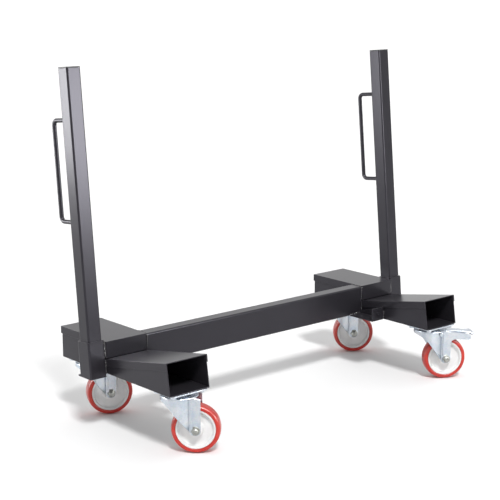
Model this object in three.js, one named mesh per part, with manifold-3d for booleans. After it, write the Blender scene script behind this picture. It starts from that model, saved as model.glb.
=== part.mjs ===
// Sheet-material trolley: a steel spine beam between two end frames, each with a boxed rear arm, a tapered
// open front foot and a leaning upright in a socket, standing on four plate-mounted swivel castors.
// Millimetres, +Z up. X runs along the spine beam and -Y is the side with the open feet. Everything is
// drawn from the floor below the middle of the beam's front face, and the finished group is then moved so
// that the origin lies on the floor at the middle of the overall size, castors included.
import * as THREE from 'three';
import { mergeVertices } from 'three/addons/utils/BufferGeometryUtils.js';
import Module from 'manifold-3d';

const wasm = await Module();
wasm.setup();

// ---- Driving dimensions ----
const GAP = 0.3;                 // clearance left between pieces that touch

const CHASSIS_BOTTOM = 195;      // underside of the chassis = overall height of a castor
const BEAM_HEIGHT = 100;         // 100 x 50 x 3 box section, standing on edge
const BEAM_DEPTH = 50;
const BEAM_WALL = 3;

const END_OUTER_X = 639;         // outer side of an end frame, over the cover lips
const END_WIDTH = 156;           // width of an end frame, over the cover lips
const SHEET = 2.5;               // folded sheet of arms, feet and covers
const LIP = 24;                  // depth of the folded cover lips
const ARM_BACK_Y = 251;
const COVER_TOP = 297;

const FOOT_FRONT_Y = -316;       // front edge of the foot floor
const FOOT_ROOT_TOP = 242;       // top of the foot where it leaves the arm
const FOOT_END_LEAN = 8.5;       // degrees the open end leans back
const FOOT_COVER_GAP = 0.9;      // the sloping lid stops this far in front of the arm

const BRACKET_WIDTH = 58;        // angle bracket in the corner of beam and foot
const BRACKET_LENGTH = 112;
const BRACKET_HEIGHT = 46;
const BRACKET_PLATE = 5;
const BRACKET_RIB_LOW = 12;      // height of the tapered rib at the beam
const BRACKET_HOLE_RADIUS = 5;
const BRACKET_HOLE_RAISE = 3;    // hole centre above the middle of the front plate

const LEAN = 5.4;                // degrees the uprights lean back
const SOCKET_SIZE = 60;          // 60 x 60 x 4 sleeve
const SOCKET_WALL = 4;
const SOCKET_LENGTH = 110;
const SOCKET_FLOOR_Z = 190;      // inside bottom of the sleeve
const SOCKET_PLATE = 4;
const SOCKET_PLATE_DEPTH = 70;
const SOCKET_AXIS_Y = 26.2;      // tube axis at the sleeve's inside bottom

const UPRIGHT_SIZE = 50;         // 50 x 50 x 3 tube
const UPRIGHT_WALL = 3;
const UPRIGHT_TOP = 946;         // measured along the tube from the sleeve's inside bottom
const UPRIGHT_START = 2.8;
const CORNER_RADIUS = 6;
const CAP_THICKNESS = 4;
const CAP_PLUG_DEPTH = 14;

const HANDLE_ROD = 14;
const HANDLE_LOW = 474;          // centre of the lower leg, along the tube
const HANDLE_HIGH = 786;
const HANDLE_REACH = 82;         // rod centre behind the upright's rear face
const HANDLE_BEND = 16;

const CASTOR_X = 561;            // kingpin positions
const CASTOR_FRONT_Y = -264;
const CASTOR_REAR_Y = 186;
const PLATE_LENGTH = 135;
const PLATE_WIDTH = 110;
const PLATE_THICKNESS = 4;
const SLOT_SPACING_X = 105;
const SLOT_SPACING_Y = 80;
const SLOT_WIDTH = 11;
const SLOT_LENGTH = 18;

const WHEEL_RADIUS = 75;
const WHEEL_WIDTH = 48;
const WHEEL_SIDES = 28;
const CORE_RADIUS = 60.5;
const HUB_RADIUS = 21;
const HUB_HALF = 28.5;
const BORE_RADIUS = 12;
const SLEEVE_RADIUS = 11.3;
const TRAIL = 50;                // wheel axle behind the kingpin

const CROWN_RADIUS = 58;         // round head of the fork
const CROWN_TOP = 180;
const FORK_STEEL = 4;
const LEG_OUTER = 34;            // half width over the fork legs
const LEG_BACK_X = 66;
const LEG_CORNER = { x: 48, z: 172 };            // slanted top corner behind the round head
const CREASE_X = 30;             // where the leg turns out towards the round head
const FLARE_ANGLE = 100;         // degrees round from the trail where the leg meets the round head
const NOSE_Z = 167;              // lower edge of the skirt at the front
const NOSE_BULGE = { x: -40, z: 163 };
const THROAT = { x: -20, z: 141 };               // start of the slanted front edge of the leg
const AXLE_RADIUS = 8;
const AXLE_HEX_RADIUS = 12;      // over the corners
const AXLE_HEAD_HEIGHT = 7.7;
const AXLE_NUT_HEIGHT = 9.7;
const AXLE_THREAD_END = 3;       // thread left standing out of the nut
const KINGPIN_RADIUS = 10;
const KINGPIN_END_Z = 170;
const KINGPIN_NUT_RADIUS = 17;
const KINGPIN_NUT_Z = 165;

const RACE_BORE = 12;
const RACE_LOWER_RADIUS = 30;
const RACE_RADIUS = 40;
const RACE_BAND = 2;             // the race widens by this between its shoulder and its top
const RACE_SHOULDER = 4;

const TREAD_HALF = 12;           // half width of the flat tread
const SHOULDER_DROP = 2.5;
const SIDEWALL_DROP = 7;
const CORE_INSET = 1.5;          // core narrower than the tyre on each side
const WEB_HALF = 11;
const HUB_FILLET = 4;
const RIM_LAND = 5;              // width of the raised ring on the core's face
const RIM_SLOPE = 3;

const BRAKE_PIVOT = { x: 30, z: 166 };
const BRAKE_TRAVEL = 6;          // degrees from free to locked
const BRAKE_PEDAL_WIDTH = 46;
const BRAKE_TOE_X = 146;
const BRAKE_TOE_Z = 162;
const BRAKE_TOE_RADIUS = 8;
const BRAKE_TOE_OVERHANG = 5;    // rolled toe wider than the pedal on each side
const BRAKE_PIN_RADIUS = 4;
const BRAKE_PIN_HEAD_RADIUS = 6.5;
const BRAKE_PIN_HALF = 40;
const BRAKE_PIN_HEAD = 2;
const SHOE_HALF = 18;
const SHOE_CLEARANCE = 1.2;      // shoe to tread with the pedal fully down
// Side outline of the pedal as (x, z) points, from the pivot out to the toe and back.
const PEDAL_SIDE = [
  [22, 171], [40, 173.5], [90, 172], [126, 168], [BRAKE_TOE_X, 166.5],
  [BRAKE_TOE_X, 163.5], [125, 165], [90, 169], [40, 170], [36, 160], [24, 160],
];
// Back of the shoe where it lies against the pedal.
const SHOE_BACK = [[100, 167.2], [90, 168.6], [64, 169.1]];
// Ear of a braked fork: root on the leg, waist, rounded end and top edge, as (x, z) points.
const EAR_ROOT = { x: 40, top: 174, bottom: 140, heel: 128 };
const EAR_WAIST = { bend: [70, 145], end: [86, 145] };
const EAR_END = {
  low: [130, 142],
  lowBend: [139, 143],
  tip: [139, 151],
  highBend: [138, 161],
  high: [128, 162],
};
const EAR_TOP = [80, 170];

const rad = THREE.MathUtils.degToRad;

// ---- Materials ----
const finish = (color, roughness, metalness) =>
  new THREE.MeshStandardMaterial({ color, roughness, metalness });
const blackCoat = finish(0x2b2930, 0.45, 0.3);
const zinc = finish(0xc4cad4, 0.35, 0.9);
const nylon = finish(0xeeeae6, 0.5, 0);
const redTyre = finish(0xc8302c, 0.35, 0);
const blackPlastic = finish(0x1c1b1e, 0.6, 0);

// ---- Solid helpers ----
function solid(geometry) {
  const bare = geometry.clone();
  bare.deleteAttribute('normal');
  bare.deleteAttribute('uv');
  const merged = mergeVertices(bare, 1e-4);
  const numbers = {
    numProp: 3,
    vertProperties: merged.attributes.position.array,
    triVerts: merged.index.array,
  };
  return new wasm.Manifold(new wasm.Mesh(numbers));
}

function geometryOf(manifold) {
  const { vertProperties, triVerts } = manifold.getMesh();
  const geometry = new THREE.BufferGeometry();
  geometry.setAttribute('position', new THREE.BufferAttribute(vertProperties, 3));
  geometry.setIndex(new THREE.BufferAttribute(triVerts, 1));
  return geometry;
}

// A block given by its low and high corners.
function block(x0, x1, y0, y1, z0, z1) {
  const geometry = new THREE.BoxGeometry(x1 - x0, y1 - y0, z1 - z0);
  geometry.translate((x0 + x1) / 2, (y0 + y1) / 2, (z0 + z1) / 2);
  return geometry;
}

// An upright round bar.
function cylinder(radius, z0, z1, sides = 16) {
  const geometry = new THREE.CylinderGeometry(radius, radius, z1 - z0, sides);
  geometry.rotateX(Math.PI / 2);
  geometry.translate(0, 0, (z0 + z1) / 2);
  return geometry;
}

// A bar along Y at a given x and z.
function crossBar(radius, x, z, y0, y1, sides = 12) {
  const geometry = new THREE.CylinderGeometry(radius, radius, y1 - y0, sides);
  geometry.translate(x, (y0 + y1) / 2, z);
  return geometry;
}

const polygon = (points) => new THREE.Shape(points.map(([x, y]) => new THREE.Vector2(x, y)));

function extrude(shape, depth, curveSegments = 5) {
  return new THREE.ExtrudeGeometry(shape, { depth, bevelEnabled: false, curveSegments });
}

// A profile drawn in the X-Z plane, extruded along Y.
function extrudeSide(shape, y0, y1) {
  const geometry = extrude(shape, y1 - y0);
  geometry.rotateX(Math.PI / 2);
  geometry.translate(0, y1, 0);
  return geometry;
}

// A profile drawn with (y, z) points, extruded along X.
function extrudeEnd(points, x0, x1) {
  const geometry = extrude(polygon(points), x1 - x0);
  geometry.applyMatrix4(new THREE.Matrix4().set(0, 0, 1, x0, 1, 0, 0, 0, 0, 1, 0, 0, 0, 0, 0, 1));
  return geometry;
}

function roundedSquare(size, radius) {
  const h = size / 2;
  const shape = new THREE.Shape();
  shape.moveTo(h - radius, -h);
  shape.absarc(h - radius, -h + radius, radius, -Math.PI / 2, 0);
  shape.absarc(h - radius, h - radius, radius, 0, Math.PI / 2);
  shape.absarc(-h + radius, h - radius, radius, Math.PI / 2, Math.PI);
  shape.absarc(-h + radius, -h + radius, radius, Math.PI, 1.5 * Math.PI);
  return shape;
}

function squareTube(size, wall, z0, z1) {
  const shape = roundedSquare(size, CORNER_RADIUS);
  shape.holes.push(roundedSquare(size - 2 * wall, Math.max(CORNER_RADIUS - wall, 1)));
  const geometry = extrude(shape, z1 - z0, 3);
  geometry.translate(0, 0, z0);
  return geometry;
}

function mesh(name, geometry, material, parent) {
  const piece = new THREE.Mesh(geometry, material);
  piece.name = name;
  parent.add(piece);
  return piece;
}

const cut = (first, ...others) => others.reduce((body, other) => body.subtract(solid(other)), first);
const join = (...geometries) =>
  geometries.slice(1).reduce((body, next) => body.add(solid(next)), solid(geometries[0]));

// ---- Spine beam ----
const INNER_WALL_X = END_OUTER_X - END_WIDTH + SHEET + GAP;   // outer face of an arm's inner side wall

function spineBeam() {
  const length = 2 * (INNER_WALL_X - GAP);
  const top = CHASSIS_BOTTOM + BEAM_HEIGHT;
  const outside = block(-length / 2, length / 2, 0, BEAM_DEPTH, CHASSIS_BOTTOM, top);
  const inside = block(-length, length, BEAM_WALL, BEAM_DEPTH - BEAM_WALL,
    CHASSIS_BOTTOM + BEAM_WALL, top - BEAM_WALL);
  return geometryOf(cut(solid(outside), inside));
}

// ---- End frames, built for the right-hand side ----
const WALL_OUT = END_OUTER_X - SHEET - GAP;                   // outer faces of the side walls
const WALL_IN = INNER_WALL_X;
const ARM_FRONT_Y = SHEET + GAP;
const ARM_TOP = COVER_TOP - SHEET - GAP;

// Open tray: floor and four walls.
function armShell() {
  const outside = block(WALL_IN, WALL_OUT, ARM_FRONT_Y, ARM_BACK_Y - SHEET - GAP, CHASSIS_BOTTOM, ARM_TOP);
  const inside = block(WALL_IN + SHEET, WALL_OUT - SHEET, ARM_FRONT_Y + SHEET,
    ARM_BACK_Y - 2 * SHEET - GAP, CHASSIS_BOTTOM + SHEET, ARM_TOP + 1);
  return geometryOf(cut(solid(outside), inside));
}

// Lid with lips folded down over the tray, a deeper front flange and a notch where the beam comes in.
function armCover() {
  const x0 = END_OUTER_X - END_WIDTH;
  const x1 = END_OUTER_X;
  const flangeBottom = FOOT_ROOT_TOP + SHEET;
  const outside = block(x0, x1, 0, ARM_BACK_Y, flangeBottom, COVER_TOP);
  const inside = block(x0 + SHEET, x1 - SHEET, SHEET, ARM_BACK_Y - SHEET,
    flangeBottom - 1, COVER_TOP - SHEET);
  const belowLips = block(x0 - 1, x1 + 1, SHEET, ARM_BACK_Y + 1, flangeBottom - 1, COVER_TOP - LIP);
  const beamNotch = block(x0 - 1, x0 + SHEET, -1, BEAM_DEPTH + GAP, flangeBottom - 1,
    CHASSIS_BOTTOM + BEAM_HEIGHT + GAP);
  return geometryOf(cut(solid(outside), inside, belowLips, beamNotch));
}

// Height of the foot's outer top surface at a given y.
const footEndShift = (COVER_TOP - CHASSIS_BOTTOM) * Math.tan(rad(FOOT_END_LEAN));
const footTopFrontY = FOOT_FRONT_Y + footEndShift;
const footTopAt = (y) => FOOT_ROOT_TOP + ((COVER_TOP - 1 - FOOT_ROOT_TOP) * y) / footTopFrontY;
const footEndY = (z) => FOOT_FRONT_Y + (z - CHASSIS_BOTTOM) * Math.tan(rad(FOOT_END_LEAN));

// Side outline of the foot with its top lowered by an allowance, as (y, z) points.
function footOutline(bottom, lowered, backY) {
  const zFront = footTopAt(footTopFrontY) - lowered;
  return [
    [footEndY(bottom), bottom],
    [backY, bottom],
    [backY, footTopAt(backY) - lowered],
    [footEndY(zFront), zFront],
  ];
}

// Channel: floor and two side walls, open at the top, the front and the root.
function footShell() {
  const outside = extrudeEnd(footOutline(CHASSIS_BOTTOM, SHEET + GAP, -GAP), WALL_IN, WALL_OUT);
  const inside = block(WALL_IN + SHEET, WALL_OUT - SHEET, FOOT_FRONT_Y - 20, 10,
    CHASSIS_BOTTOM + SHEET, COVER_TOP + 10);
  return geometryOf(cut(solid(outside), inside));
}

// Sloping lid with its side lips.
function footCover() {
  const x0 = END_OUTER_X - END_WIDTH;
  const x1 = END_OUTER_X;
  const lipLine = (lowered) => [
    [footTopFrontY - 60, footTopAt(footTopFrontY - 60) - lowered],
    [60, footTopAt(60) - lowered],
    [60, CHASSIS_BOTTOM - 100],
    [footTopFrontY - 60, CHASSIS_BOTTOM - 100],
  ];
  const outside = extrudeEnd(footOutline(CHASSIS_BOTTOM, 0, -FOOT_COVER_GAP), x0, x1);
  const inside = extrudeEnd(lipLine(SHEET), x0 + SHEET, x1 - SHEET);
  const belowLips = extrudeEnd(lipLine(LIP), x0 - 1, x1 + 1);
  return geometryOf(cut(solid(outside), inside, belowLips));
}

// Bent plate in the corner between the beam's front and the foot's inner side.
function cornerBracket() {
  const x1 = END_OUTER_X - END_WIDTH - GAP;
  const x0 = x1 - BRACKET_WIDTH;
  const z0 = CHASSIS_BOTTOM;
  const floor = block(x0, x1, -BRACKET_LENGTH, -GAP, z0, z0 + BRACKET_PLATE);
  const front = block(x0, x1, -BRACKET_LENGTH, -BRACKET_LENGTH + BRACKET_PLATE, z0, z0 + BRACKET_HEIGHT);
  const rib = extrudeEnd([[-BRACKET_LENGTH + 1, z0 + 1], [-GAP, z0 + 1], [-GAP, z0 + BRACKET_RIB_LOW],
    [-BRACKET_LENGTH + 1, z0 + BRACKET_HEIGHT]], x1 - BRACKET_PLATE, x1);
  const hole = crossBar(BRACKET_HOLE_RADIUS, (x0 + x1) / 2, z0 + BRACKET_HEIGHT / 2 + BRACKET_HOLE_RAISE,
    -BRACKET_LENGTH - 1, -BRACKET_LENGTH + BRACKET_PLATE + 1, 16);
  return geometryOf(cut(join(floor, front, rib), hole));
}

// ---- Socket, upright, cap and handle in the leaning frame (local Z along the tube) ----
const socketX = END_OUTER_X + GAP + SOCKET_SIZE / 2;
const leanMatrix = new THREE.Matrix4().makeRotationX(rad(-LEAN));
leanMatrix.setPosition(socketX, SOCKET_AXIS_Y, SOCKET_FLOOR_Z);

function socket() {
  const sleeve = squareTube(SOCKET_SIZE, SOCKET_WALL, -20, SOCKET_LENGTH);
  sleeve.applyMatrix4(leanMatrix);
  const below = block(socketX - 80, socketX + 80, -80, 150, 100, SOCKET_FLOOR_Z - 1);
  const frontY = SOCKET_AXIS_Y - SOCKET_SIZE / 2;
  const plate = block(socketX - SOCKET_SIZE / 2, socketX + SOCKET_SIZE / 2, frontY,
    frontY + SOCKET_PLATE_DEPTH, SOCKET_FLOOR_Z - SOCKET_PLATE, SOCKET_FLOOR_Z);
  return geometryOf(cut(solid(sleeve), below).add(solid(plate)));
}

const uprightTube = () => squareTube(UPRIGHT_SIZE, UPRIGHT_WALL, UPRIGHT_START, UPRIGHT_TOP - CAP_THICKNESS);

// Square plug pressed into the top of the tube, with a flat head as wide as the tube.
function uprightCap() {
  const head = extrude(roundedSquare(UPRIGHT_SIZE, CORNER_RADIUS), CAP_THICKNESS - GAP, 3);
  head.translate(0, 0, UPRIGHT_TOP - CAP_THICKNESS + GAP);
  const plugSize = UPRIGHT_SIZE - 2 * UPRIGHT_WALL - 2 * GAP;
  const h = plugSize / 2;
  const z = UPRIGHT_TOP - CAP_THICKNESS;
  const plug = block(-h + 1, h - 1, -h + 1, h - 1, z - CAP_PLUG_DEPTH, z + 1);
  return geometryOf(join(head, plug));
}

// Round rod bent twice into a D.
function handle() {
  const y0 = UPRIGHT_SIZE / 2 + GAP;
  const y1 = UPRIGHT_SIZE / 2 + HANDLE_REACH;
  const at = (y, z) => new THREE.Vector3(0, y, z);
  const r = HANDLE_BEND;
  const straight = (from, to) => new THREE.LineCurve3(from, to);
  const bend = (from, corner, to) => new THREE.QuadraticBezierCurve3(from, corner, to);
  const path = new THREE.CurvePath();
  path.add(straight(at(y0, HANDLE_LOW), at(y1 - r, HANDLE_LOW)));
  path.add(bend(at(y1 - r, HANDLE_LOW), at(y1, HANDLE_LOW), at(y1, HANDLE_LOW + r)));
  path.add(straight(at(y1, HANDLE_LOW + r), at(y1, HANDLE_HIGH - r)));
  path.add(bend(at(y1, HANDLE_HIGH - r), at(y1, HANDLE_HIGH), at(y1 - r, HANDLE_HIGH)));
  path.add(straight(at(y1 - r, HANDLE_HIGH), at(y0, HANDLE_HIGH)));
  const section = polygon(Array.from({ length: 8 }, (_, i) => {
    const angle = (i / 8) * 2 * Math.PI;
    return [(HANDLE_ROD / 2) * Math.cos(angle), (HANDLE_ROD / 2) * Math.sin(angle)];
  }));
  return new THREE.ExtrudeGeometry(section, { extrudePath: path, steps: 38, bevelEnabled: false });
}

// ---- Castor, in its own frame: kingpin on local Z, wheel axle along Y at x = TRAIL ----
const PLATE_TOP = CHASSIS_BOTTOM - GAP;
const PLATE_BOTTOM = PLATE_TOP - PLATE_THICKNESS;

// The plate and its race don't swivel, so they are drawn square to the chassis.
function castorPlate() {
  const plate = block(-PLATE_LENGTH / 2, PLATE_LENGTH / 2, -PLATE_WIDTH / 2, PLATE_WIDTH / 2,
    PLATE_BOTTOM, PLATE_TOP);
  const slots = [-1, 1].flatMap((sx) => [-1, 1].map((sy) => {
    const x = (sx * SLOT_SPACING_X) / 2;
    const y = (sy * SLOT_SPACING_Y) / 2;
    return block(x - SLOT_LENGTH / 2, x + SLOT_LENGTH / 2, y - SLOT_WIDTH / 2, y + SLOT_WIDTH / 2,
      PLATE_BOTTOM - 1, PLATE_TOP + 1);
  }));
  const bore = cylinder(KINGPIN_RADIUS + GAP, PLATE_BOTTOM - 1, PLATE_TOP + 1);
  return geometryOf(cut(solid(plate), ...slots, bore));
}

// Profile points are (radius, height), closed on themselves. Radii are held at the middle of the flats.
function lathe(points, segments) {
  const across = 1 / Math.cos(Math.PI / segments);
  const closed = [...points, points[0]].map(([r, h]) => new THREE.Vector2(r * across, h));
  const geometry = new THREE.LatheGeometry(closed, segments, Math.PI / segments);
  geometry.rotateX(Math.PI / 2);
  return geometryOf(solid(geometry));
}

function upperRace() {
  const top = PLATE_BOTTOM - GAP;
  const bottom = CROWN_TOP + GAP;
  return lathe([[RACE_BORE, bottom], [RACE_LOWER_RADIUS, bottom],
    [RACE_RADIUS - RACE_BAND, bottom + RACE_SHOULDER], [RACE_RADIUS, top], [RACE_BORE, top]], 16);
}

function kingpin() {
  const shank = cylinder(KINGPIN_RADIUS, KINGPIN_END_Z, PLATE_TOP - GAP);
  const nut = cylinder(KINGPIN_NUT_RADIUS, KINGPIN_NUT_Z, CROWN_TOP - FORK_STEEL - GAP, 6);
  return geometryOf(join(shank, nut));
}

// Plan outline of the fork skirt at a distance inside its outer face.
function skirtPlan(inset) {
  const y = LEG_OUTER - inset;
  const flare = rad(FLARE_ANGLE);
  const r = CROWN_RADIUS - inset;
  const arc = Array.from({ length: 8 }, (_, i) => {
    const angle = flare + ((2 * Math.PI - 2 * flare) * i) / 7;
    return [r * Math.cos(angle), r * Math.sin(angle)];
  });
  const crease = CREASE_X + inset * 0.3;
  return [[LEG_BACK_X, y], [crease, y], ...arc, [crease, -y], [LEG_BACK_X, -y]];
}

// Side outline of the fork: slanted front edge, round end at the axle, straight back edge.
function forkSide() {
  const shape = new THREE.Shape();
  const end = LEG_BACK_X - TRAIL;
  shape.moveTo(-CROWN_RADIUS - 1, CROWN_TOP);
  shape.lineTo(-CROWN_RADIUS - 1, NOSE_Z);
  shape.quadraticCurveTo(NOSE_BULGE.x, NOSE_BULGE.z, THROAT.x, THROAT.z);
  shape.lineTo(TRAIL - end * 0.75, WHEEL_RADIUS - end * 0.6);
  shape.absarc(TRAIL, WHEEL_RADIUS, end, rad(220), rad(360));
  shape.lineTo(LEG_BACK_X, LEG_CORNER.z);
  shape.lineTo(LEG_CORNER.x, CROWN_TOP);
  return shape;
}

// Ear of a braked fork that carries on past the leg and shields the pedal.
function brakeEar(y0, y1) {
  const shape = new THREE.Shape();
  shape.moveTo(EAR_ROOT.x, EAR_ROOT.top);
  shape.lineTo(EAR_ROOT.x, EAR_ROOT.bottom);
  shape.lineTo(LEG_BACK_X, EAR_ROOT.heel);
  shape.quadraticCurveTo(...EAR_WAIST.bend, ...EAR_WAIST.end);
  shape.lineTo(...EAR_END.low);
  shape.quadraticCurveTo(...EAR_END.lowBend, ...EAR_END.tip);
  shape.quadraticCurveTo(...EAR_END.highBend, ...EAR_END.high);
  shape.lineTo(...EAR_TOP);
  return extrudeSide(shape, y0, y1);
}

function fork(braked) {
  const plan = polygon([...skirtPlan(0), ...skirtPlan(FORK_STEEL).reverse()]);
  const skirt = extrude(plan, CROWN_TOP - 50);
  skirt.translate(0, 0, 50);
  const reach = CROWN_RADIUS + 10;
  const walls = solid(skirt).intersect(solid(extrudeSide(forkSide(), -reach, reach)));
  const crown = solid(cylinder(CROWN_RADIUS, CROWN_TOP - FORK_STEEL, CROWN_TOP, 24));
  const ears = braked
    ? [brakeEar(LEG_OUTER - FORK_STEEL, LEG_OUTER), brakeEar(-LEG_OUTER, -LEG_OUTER + FORK_STEEL)]
    : [];
  const body = ears.reduce((all, ear) => all.add(solid(ear)), walls.add(crown));
  const axleHole = crossBar(AXLE_RADIUS + GAP, TRAIL, WHEEL_RADIUS, -50, 50);
  const pinHole = cylinder(KINGPIN_RADIUS + GAP, CROWN_TOP - 10, CROWN_TOP + 1);
  const brakeHole = crossBar(BRAKE_PIN_RADIUS + GAP, BRAKE_PIVOT.x, BRAKE_PIVOT.z, -reach, reach, 12);
  return geometryOf(cut(body, axleHole, pinHole, ...(braked ? [brakeHole] : [])));
}

function aroundAxle(geometry) {
  geometry.rotateX(Math.PI / 2);
  geometry.translate(TRAIL, 0, WHEEL_RADIUS);
  return geometry;
}

function tyre() {
  const h = WHEEL_WIDTH / 2;
  const inner = CORE_RADIUS + GAP;
  const r = WHEEL_RADIUS;
  const half = [[inner, h - 3], [r - SIDEWALL_DROP, h - 1], [r - SHOULDER_DROP, h - 5], [r, TREAD_HALF]];
  const farHalf = half.map(([radius, y]) => [radius, -y]);
  return aroundAxle(lathe([...farHalf, ...half.reverse()], WHEEL_SIDES));
}

function wheelCore() {
  const h = WHEEL_WIDTH / 2 - CORE_INSET;
  const half = [[BORE_RADIUS, HUB_HALF], [HUB_RADIUS, HUB_HALF], [HUB_RADIUS + HUB_FILLET, WEB_HALF],
    [CORE_RADIUS - RIM_LAND - RIM_SLOPE, WEB_HALF], [CORE_RADIUS - RIM_LAND, h], [CORE_RADIUS, h]];
  const farHalf = half.map(([radius, y]) => [radius, -y]);
  return aroundAxle(lathe([...farHalf, ...half.reverse()], WHEEL_SIDES));
}

function axleSleeve() {
  const h = LEG_OUTER - FORK_STEEL - GAP;
  return aroundAxle(lathe([[AXLE_RADIUS + GAP, -h], [SLEEVE_RADIUS, -h], [SLEEVE_RADIUS, h],
    [AXLE_RADIUS + GAP, h]], 12));
}

// Hex bolt with its head on the far side and its locknut run up on the near side.
function axleBolt() {
  const seat = LEG_OUTER + GAP;
  const threadEnd = -seat - AXLE_NUT_HEIGHT - AXLE_THREAD_END;
  const shank = crossBar(AXLE_RADIUS, TRAIL, WHEEL_RADIUS, threadEnd, seat + 1);
  const head = crossBar(AXLE_HEX_RADIUS, TRAIL, WHEEL_RADIUS, seat, seat + AXLE_HEAD_HEIGHT, 6);
  const nut = crossBar(AXLE_HEX_RADIUS, TRAIL, WHEEL_RADIUS, -seat - AXLE_NUT_HEIGHT, -seat, 6);
  return geometryOf(join(shank, head, nut));
}

// Pedal: a pressed lever hinged between the legs, running out over the wheel to a rolled toe.
function brakePedal() {
  const half = BRAKE_PEDAL_WIDTH / 2;
  const toeHalf = half + BRAKE_TOE_OVERHANG;
  const lever = solid(extrudeSide(polygon(PEDAL_SIDE), -half, half));
  const toe = solid(crossBar(BRAKE_TOE_RADIUS, BRAKE_TOE_X, BRAKE_TOE_Z, -toeHalf, toeHalf));
  const pivot = crossBar(BRAKE_PIN_RADIUS + GAP, BRAKE_PIVOT.x, BRAKE_PIVOT.z, -half - 1, half + 1, 12);
  return geometryOf(cut(lever.add(toe), pivot));
}

function brakePin() {
  const { x, z } = BRAKE_PIVOT;
  const end = BRAKE_PIN_HALF;
  const shank = crossBar(BRAKE_PIN_RADIUS, x, z, -end, end, 12);
  const nearHead = crossBar(BRAKE_PIN_HEAD_RADIUS, x, z, -end - BRAKE_PIN_HEAD, -end, 12);
  const farHead = crossBar(BRAKE_PIN_HEAD_RADIUS, x, z, end, end + BRAKE_PIN_HEAD, 12);
  return geometryOf(join(shank, nearHead, farHead));
}

// Curved shoe fixed under the pedal. Its face fits the tread when the pedal is fully down, so the arc is
// drawn there and turned back up about the pivot.
function brakeShoe() {
  const r = WHEEL_RADIUS + SHOE_CLEARANCE;
  const lift = rad(BRAKE_TRAVEL);
  const face = Array.from({ length: 6 }, (_, i) => {
    const angle = rad(80 - 7 * i);
    const dx = TRAIL + r * Math.cos(angle) - BRAKE_PIVOT.x;
    const dz = WHEEL_RADIUS + r * Math.sin(angle) - BRAKE_PIVOT.z;
    return [
      BRAKE_PIVOT.x + dx * Math.cos(lift) - dz * Math.sin(lift),
      BRAKE_PIVOT.z + dx * Math.sin(lift) + dz * Math.cos(lift),
    ];
  });
  return extrudeSide(polygon([...face, ...SHOE_BACK]), -SHOE_HALF, SHOE_HALF);
}

// ---- Assembly ----
const trolley = new THREE.Group();
mesh('spine_beam', spineBeam(), blackCoat, trolley);

// Left-hand pieces are the right-hand ones mirrored across X = 0.
function sided(geometry, side) {
  if (side > 0) return geometry;
  const mirrored = geometry.clone();
  mirrored.scale(-1, 1, 1);
  const { index } = mirrored;
  for (let i = 0; i < index.count; i += 3) {
    const second = index.getX(i + 1);
    index.setX(i + 1, index.getX(i + 2));
    index.setX(i + 2, second);
  }
  return mirrored;
}

for (const [name, side] of [['left', -1], ['right', 1]]) {
  mesh(`arm_shell_${name}`, sided(armShell(), side), blackCoat, trolley);
  mesh(`arm_cover_${name}`, sided(armCover(), side), blackCoat, trolley);
  mesh(`foot_shell_${name}`, sided(footShell(), side), blackCoat, trolley);
  mesh(`foot_cover_${name}`, sided(footCover(), side), blackCoat, trolley);
  mesh(`corner_bracket_${name}`, sided(cornerBracket(), side), blackCoat, trolley);
  mesh(`socket_${name}`, sided(socket(), side), blackCoat, trolley);

  const leaning = new THREE.Group();
  leaning.position.set(side * socketX, SOCKET_AXIS_Y, SOCKET_FLOOR_Z);
  leaning.rotation.x = rad(-LEAN);
  mesh(`upright_${name}`, uprightTube(), blackCoat, leaning);
  mesh(`upright_cap_${name}`, uprightCap(), blackPlastic, leaning);
  mesh(`handle_${name}`, handle(), blackCoat, leaning);
  trolley.add(leaning);
}

// swivel is how far the wheel's trail direction is turned from +X towards -Y, in degrees.
const castors = [
  { name: 'front_left', x: -CASTOR_X, y: CASTOR_FRONT_Y, swivel: 44, braked: false },
  { name: 'rear_left', x: -CASTOR_X, y: CASTOR_REAR_Y, swivel: 24, braked: false },
  { name: 'front_right', x: CASTOR_X, y: CASTOR_FRONT_Y, swivel: 33, braked: true },
  { name: 'rear_right', x: CASTOR_X, y: CASTOR_REAR_Y, swivel: 39, braked: true },
];

for (const { name, x, y, swivel, braked } of castors) {
  const fixed = new THREE.Group();
  fixed.position.set(x, y, 0);
  mesh(`castor_plate_${name}`, castorPlate(), zinc, fixed);
  mesh(`upper_race_${name}`, upperRace(), zinc, fixed);
  mesh(`kingpin_${name}`, kingpin(), zinc, fixed);
  trolley.add(fixed);

  const turning = new THREE.Group();
  turning.position.set(x, y, 0);
  turning.rotation.z = rad(-swivel);
  mesh(`fork_${name}`, fork(braked), zinc, turning);
  mesh(`axle_bolt_${name}`, axleBolt(), zinc, turning);
  mesh(`axle_sleeve_${name}`, axleSleeve(), zinc, turning);
  mesh(`wheel_core_${name}`, wheelCore(), nylon, turning);
  mesh(`tyre_${name}`, tyre(), redTyre, turning);
  if (braked) {
    mesh(`brake_pedal_${name}`, brakePedal(), zinc, turning);
    mesh(`brake_pin_${name}`, brakePin(), zinc, turning);
    mesh(`brake_shoe_${name}`, brakeShoe(), zinc, turning);
  }
  trolley.add(turning);
}

const overall = new THREE.Box3().setFromObject(trolley, true);
const middle = overall.getCenter(new THREE.Vector3());
trolley.position.set(-middle.x, -middle.y, -overall.min.z);

export default trolley;
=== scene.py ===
import math

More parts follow.
